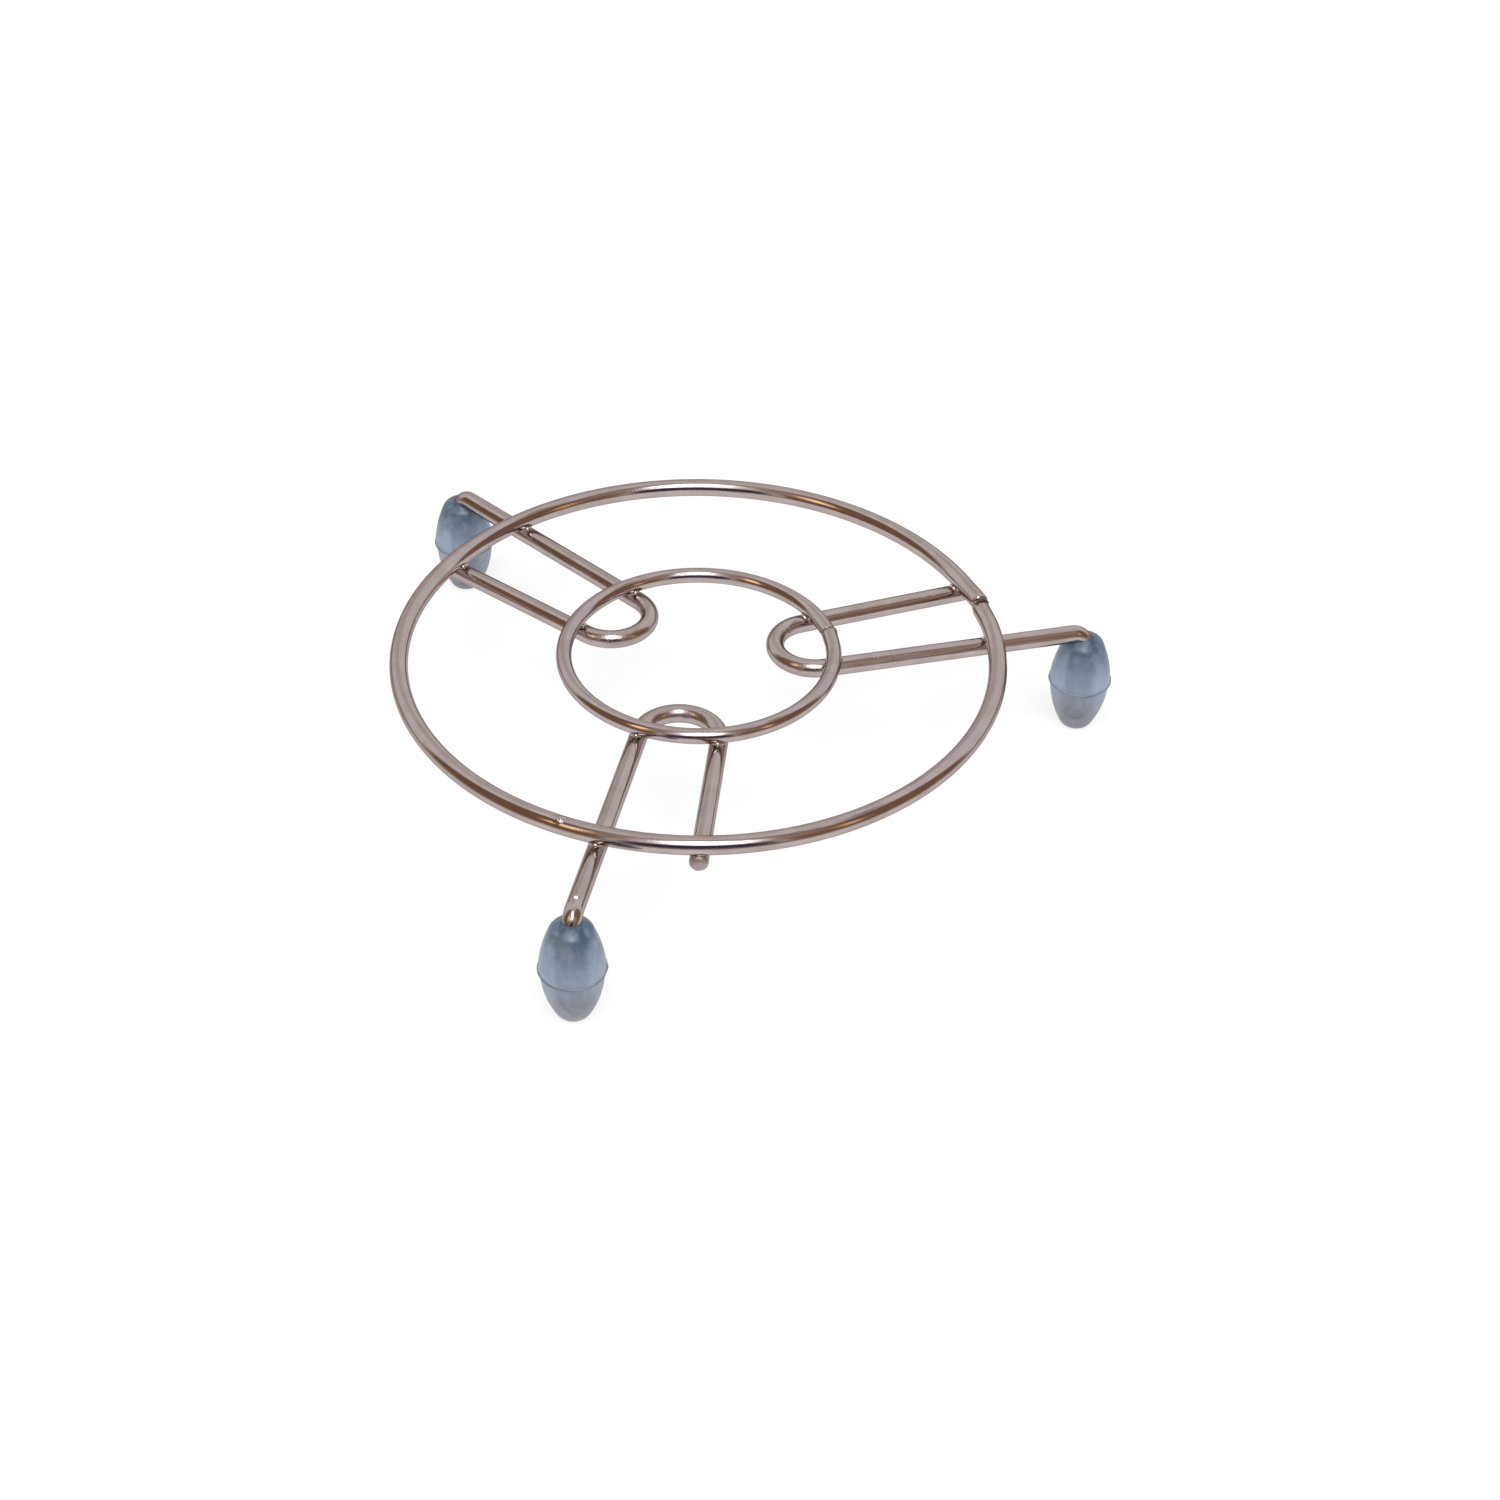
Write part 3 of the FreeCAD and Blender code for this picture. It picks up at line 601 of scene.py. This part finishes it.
def make_foot(name, axis, seed):
    """The half section turned about the foot's axis. Its flash is a little ragged and has a gate mark."""
    columns = 96
    raggedness = 0.09
    rags = 5
    gate_turn, gate_width, gate_height = 0.2, 0.06, 0.14
    points = []
    rows = []
    for across, up in foot_section():
        if across < 1e-6:
            rows.append([len(points)] * columns)
            points.append((axis[0], axis[1], up * MM))
            continue
        rows.append(list(range(len(points), len(points) + columns)))
        for turn in np.linspace(0, 2 * math.pi, columns, endpoint=False):
            reach = across
            if across > flash_radius - 0.1:
                reach += raggedness * noise.noise(Vector((math.cos(turn) * rags, math.sin(turn) * rags, seed)))
                reach += gate_height * math.exp(-((turn - gate_turn) / gate_width) ** 2)
            points.append((axis[0] + reach * MM * math.cos(turn), axis[1] + reach * MM * math.sin(turn), up * MM))
    faces = []
    for below, above in zip(rows, rows[1:]):
        for column in range(columns):
            beside = (column + 1) % columns
            corners = [below[column], below[beside], above[beside], above[column]]
            faces.append(list(dict.fromkeys(corners)))
    mesh = bpy.data.meshes.new(name)
    mesh.from_pydata(points, [], faces)
    mesh.shade_smooth()
    foot = bpy.data.objects.new(name, mesh)
    bpy.context.scene.collection.objects.link(foot)
    return foot


def make_smoky_plastic():
    """Smoky blue soft plastic, half clear and half milky. Its colour is painted light and shade that changes with
    height:
    grey at the base, pale blue over the middle and dark blue at the lip, with painted shade at the flash and round
    the base."""
    # The colour of the painted shade at the parting line and round the base.
    painted_shade_colour = (0.05, 0.05, 0.06, 1)
    milk_colour = (0.55, 0.60, 0.68, 1)
    shaded_base_colour = (0.15, 0.15, 0.18, 1)
    shaded_lip_colour = (0.062, 0.13, 0.225, 1)
    shading_colours_between = {0.07: (0.182, 0.185, 0.22, 1), 0.3: (0.285, 0.308, 0.375, 1), 0.6: (0.33, 0.425, 0.58, 1)}
    finish = bpy.data.materials.new("smoky_plastic")
    finish.use_nodes = True
    tree = finish.node_tree
    shader = tree.nodes["Principled BSDF"]
    place = add_node(tree, "ShaderNodeTexCoord").outputs["Object"]
    height = add_node(tree, "ShaderNodeSeparateXYZ", {0: place}).outputs[2]
    cloud = mottle(tree, place, 260.0, 3.0)
    waved_height = reckon(tree, "MULTIPLY_ADD", cloud, 0.006, height)
    # The colour ramp over height is painted light and shade; the plastic itself is one smoky blue throughout.
    height_shading_ramp = add_node(tree, "ShaderNodeValToRGB", {0: grade(tree, waved_height, 0.002, 0.027)})
    stops = height_shading_ramp.color_ramp.elements
    stops[0].position, stops[0].color = 0.0, shaded_base_colour
    stops[1].position, stops[1].color = 1.0, shaded_lip_colour
    for share_up, colour in shading_colours_between.items():
        stops.new(share_up).color = colour
    streaks = add_node(tree, "ShaderNodeMapping", {"Vector": place, "Scale": (1.0, 1.0, 0.6)}).outputs[0]
    milk = grade(tree, mottle(tree, streaks, 700.0, 3.0), 0.42, 0.72, 0.0, 0.36)
    # Painted shade: a dark line drawn along the parting line and broken up by noise, standing in for the shade in
    # the flash's crease.
    off_line = reckon(tree, "SUBTRACT", height, (parting_height + 0.05) * MM)
    parting_line_shade = grade(tree, reckon(tree, "ABSOLUTE", off_line), 0.0003, 0.0001, 0.0, 0.8)
    parting_line_shade_breakup = grade(tree, mottle(tree, place, 150.0, 1.0), 0.38, 0.62, 0.15)
    parting_line_shade = reckon(tree, "MULTIPLY", parting_line_shade, parting_line_shade_breakup)
    # Painted shade: the bottom 1.4 mm darkens, nearly to black below 0.3 mm, a dark rim where the foot meets the
    # floor.
    base_rim_shade = grade(tree, height, 0.0014, 0.0003, 0.0, 0.95)
    painted_shade = reckon(tree, "MAXIMUM", parting_line_shade, base_rim_shade)
    colour = blend(tree, painted_shade, blend(tree, milk, height_shading_ramp.outputs[0], milk_colour), painted_shade_colour)
    grain = mottle(tree, place, 420.0, 1.0)
    bump = add_node(tree, "ShaderNodeBump", {"Height": grain, "Strength": 0.08, "Distance": 0.02 * MM})
    tree.links.new(colour, shader.inputs["Base Color"])
    tree.links.new(grade(tree, cloud, 0.3, 0.7, 0.30, 0.42), shader.inputs["Roughness"])
    tree.links.new(bump.outputs[0], shader.inputs["Normal"])
    shader.inputs["Transmission Weight"].default_value = 0.68
    shader.inputs["IOR"].default_value = 1.46
    return finish


smoky_plastic = make_smoky_plastic()
for seed, (side, joint) in enumerate(foot_joints.items()):
    foot = make_foot(f"{side}_foot_barrel", joint["pos_m"], seed)
    foot.data.materials.append(smoky_plastic)
    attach(foot, f"{side}_foot")
    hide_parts(f"{side}_foot")

# Studio: a plain white floor that keeps the shadow, and a room that the plated wire reflects. Mirrored in the
# wire, the floor is a white board that ends beyond the feet, on brown. The room has a soft white lamp on a dark
# stand over the front, brown walls with small warm lamps at both sides, and a pale wall at the back left.
floor_radius = 4.0
board_colour = (1, 1, 1, 1)
board_surround = (0.32, 0.21, 0.15, 1)
board_edge = 0.11
board_end = 0.2
floor = bpy.data.objects.new("studio_floor", bpy.data.meshes.new("studio_floor"))
edge = [(floor_radius * math.cos(turn), floor_radius * math.sin(turn), 0.0)
        for turn in np.linspace(0, 2 * math.pi, 64, endpoint=False)]
floor.data.from_pydata(edge, [], [list(range(len(edge)))])
bpy.context.scene.collection.objects.link(floor)
white_floor = bpy.data.materials.new("white_floor")
white_floor.use_nodes = True
tree = white_floor.node_tree
tree.nodes.clear()
rays = add_node(tree, "ShaderNodeLightPath").outputs
away = add_node(tree, "ShaderNodeVectorMath", {0: add_node(tree, "ShaderNodeTexCoord").outputs["Object"]},
                operation="LENGTH").outputs["Value"]
off_board = grade(tree, away, board_edge, board_end, interpolation_type="SMOOTHSTEP")
mirrored = reckon(tree, "MULTIPLY", off_board, rays["Is Glossy Ray"])
seen = reckon(tree, "MAXIMUM", rays["Is Camera Ray"], rays["Is Glossy Ray"])
seen = reckon(tree, "MAXIMUM", seen, rays["Is Transmission Ray"])
whiteness = grade(tree, away, 0.3, 0.9, 0.78, 1.0)
share = reckon(tree, "MULTIPLY", seen, whiteness)
paint = add_node(tree, "ShaderNodeBsdfDiffuse", {"Color": (0.9, 0.9, 0.9, 1)})
white = add_node(tree, "ShaderNodeEmission", {"Color": blend(tree, mirrored, board_colour, board_surround),
                                              "Strength": 1.0})
mixed = add_node(tree, "ShaderNodeMixShader", {0: share, 1: paint.outputs[0], 2: white.outputs[0]})
add_node(tree, "ShaderNodeOutputMaterial", {"Surface": mixed.outputs[0]})
floor.data.materials.append(white_floor)


def make_studio_panel():
    """Shader group: how much of a soft-edged panel of the room lies in a direction, in degrees."""
    group = bpy.data.node_groups.new("studio_panel", "ShaderNodeTree")
    add_sockets(group, "INPUT", Azimuth="Float", Elevation="Float", Middle_azimuth="Float",
                Middle_elevation="Float", Half_width="Float", Half_height="Float", Lean="Float", Soft_edge="Float")
    add_sockets(group, "OUTPUT", Mask="Float")
    given = group.nodes.new("NodeGroupInput").outputs
    up = reckon(group, "SUBTRACT", given["Elevation"], given["Middle elevation"])
    middle = reckon(group, "MULTIPLY_ADD", up, given["Lean"], given["Middle azimuth"])
    over = reckon(group, "SUBTRACT", given["Azimuth"], middle)
    masks = []
    for offset, half in ((over, "Half width"), (up, "Half height")):
        inside = reckon(group, "SUBTRACT", given[half], reckon(group, "ABSOLUTE", offset))
        masks.append(grade(group, inside, 0.0, given["Soft edge"], interpolation_type="SMOOTHSTEP"))
    add_node(group, "NodeGroupOutput", {"Mask": reckon(group, "MULTIPLY", *masks)})
    return group


studio_panel = make_studio_panel()
room = bpy.data.worlds.new("studio_room")
room.use_nodes = True
bpy.context.scene.world = room
tree = room.node_tree
tree.nodes.clear()
direction = add_node(tree, "ShaderNodeTexCoord").outputs["Generated"]
parts = add_node(tree, "ShaderNodeSeparateXYZ", {0: direction}).outputs
ahead = reckon(tree, "MULTIPLY", parts[1], -1.0)
looked_round = reckon(tree, "DEGREES", reckon(tree, "ARCTAN2", parts[0], ahead))
looked_up = reckon(tree, "DEGREES", reckon(tree, "ARCSINE", parts[2]))

# Each panel: middle azimuth and elevation, half width and height, lean, soft edge, colour.
room_panels = {
    "ceiling": (0, 90, 400, 15, 0.0, 8, (0.62, 0.575, 0.57)),
    "back_left_wall": (-156, 30, 24, 32, 0.0, 14, (0.76, 0.72, 0.70)),
    "left_wall": (-59, 34, 41, 43, -0.05, 9, (0.29, 0.165, 0.095)),
    "left_shade": (-80, 74, 35, 8, 0.0, 6, (0.50, 0.42, 0.46)),
    "left_glow": (-32, 64, 20, 34, 0.0, 12, (0.50, 0.37, 0.28)),
    "left_lamp": (-43, 43, 10, 17, -0.25, 7, (2.3, 1.7, 0.95)),
    "right_wall": (57, 28, 22, 46, 0.0, 7, (0.33, 0.21, 0.14)),
    "far_right_wall": (86, 24, 28, 38, 0.0, 6, (0.30, 0.18, 0.11)),
    "right_shade": (77, 75, 29, 7, 0.0, 4, (0.42, 0.34, 0.34)),
    "far_right_shade": (122, 63, 27, 4, 0.0, 3, (0.36, 0.28, 0.28)),
    "right_glow": (51, 50, 16, 20, 0.0, 8, (0.50, 0.36, 0.27)),
    "right_lamp": (63, 25, 6, 13, 0.1, 5, (1.5, 0.95, 0.5)),
    "lamp_stand": (9, 13, 31, 27, 0.0, 9, (0.072, 0.055, 0.10)),
    "lamp_glow": (12, 73, 36, 18, 0.0, 12, (1.5, 1.5, 1.6)),
    "lamp_foot": (13, 54, 20, 14, 0.0, 6, (5.2, 5.2, 5.4)),
    "soft_lamp": (13, 71, 26, 16, -0.1, 6, (5.7, 5.7, 5.9)),
}
seen_room = (0.95, 0.95, 0.95, 1)
for name, (azimuth, elevation, half_width, half_height, lean, soft_edge, colour) in room_panels.items():
    panel = add_node(tree, "ShaderNodeGroup", {
        "Azimuth": looked_round, "Elevation": looked_up, "Middle azimuth": azimuth, "Middle elevation": elevation,
        "Half width": half_width, "Half height": half_height, "Lean": lean, "Soft edge": soft_edge},
        node_tree=studio_panel, label=name)
    seen_room = blend(tree, panel.outputs["Mask"], seen_room, (*colour, 1))

sky_level = 0.62
rays = add_node(tree, "ShaderNodeLightPath").outputs
seen = reckon(tree, "MAXIMUM", rays["Is Camera Ray"], rays["Is Transmission Ray"])
level = grade(tree, seen, 0.0, 1.0, sky_level, 1.0)
plain = add_node(tree, "ShaderNodeBackground", {"Color": (1, 1, 1, 1), "Strength": level})
reflected = add_node(tree, "ShaderNodeBackground", {"Color": seen_room, "Strength": 1.0})
sky = add_node(tree, "ShaderNodeMixShader", {0: rays["Is Glossy Ray"], 1: plain.outputs[0],
                                             2: reflected.outputs[0]})
add_node(tree, "ShaderNodeOutputWorld", {"Surface": sky.outputs[0]})

lamp_azimuth = math.radians(10)
lamp_elevation = math.radians(61)
lamp_distance = 2.4
lamp_light = bpy.data.lights.new("soft_lamp", "AREA")
lamp_light.shape = "RECTANGLE"
lamp_light.size, lamp_light.size_y = 2.1, 1.6
lamp_light.energy = 64.0
soft_lamp = bpy.data.objects.new("soft_lamp", lamp_light)
lamp_way = Vector((math.sin(lamp_azimuth) * math.cos(lamp_elevation),
                   -math.cos(lamp_azimuth) * math.cos(lamp_elevation), math.sin(lamp_elevation)))
lamp_facing = lamp_way.to_track_quat("Z", "Y").to_matrix().to_4x4()
soft_lamp.matrix_world = Matrix.Translation(lamp_way * lamp_distance) @ lamp_facing
soft_lamp.visible_glossy = False
soft_lamp.visible_camera = False
bpy.context.scene.collection.objects.link(soft_lamp)

# Camera: at the photograph's place and angle, found by fitting the outlines of the wires. It looks down on the
# trivet from a little to the right of the front leg.
camera_place = Vector((67.809, -471.404, 391.143)) * MM
looks_down = 38.49
camera_data = bpy.data.cameras.new("camera")
camera_data.lens = 67.2
camera_data.sensor_width = 36.0
camera_data.clip_start = 0.01
camera = bpy.data.objects.new("camera", camera_data)
heading = Matrix.Rotation(math.radians(7.6), 4, "Z")
tilt = Matrix.Rotation(math.radians(90 - looks_down), 4, "X")
roll = Matrix.Rotation(math.radians(1.146), 4, "Z")
camera.matrix_world = Matrix.Translation(camera_place) @ heading @ tilt @ roll
bpy.context.scene.collection.objects.link(camera)
bpy.context.scene.camera = camera

bpy.context.scene.view_settings.view_transform = "Standard"
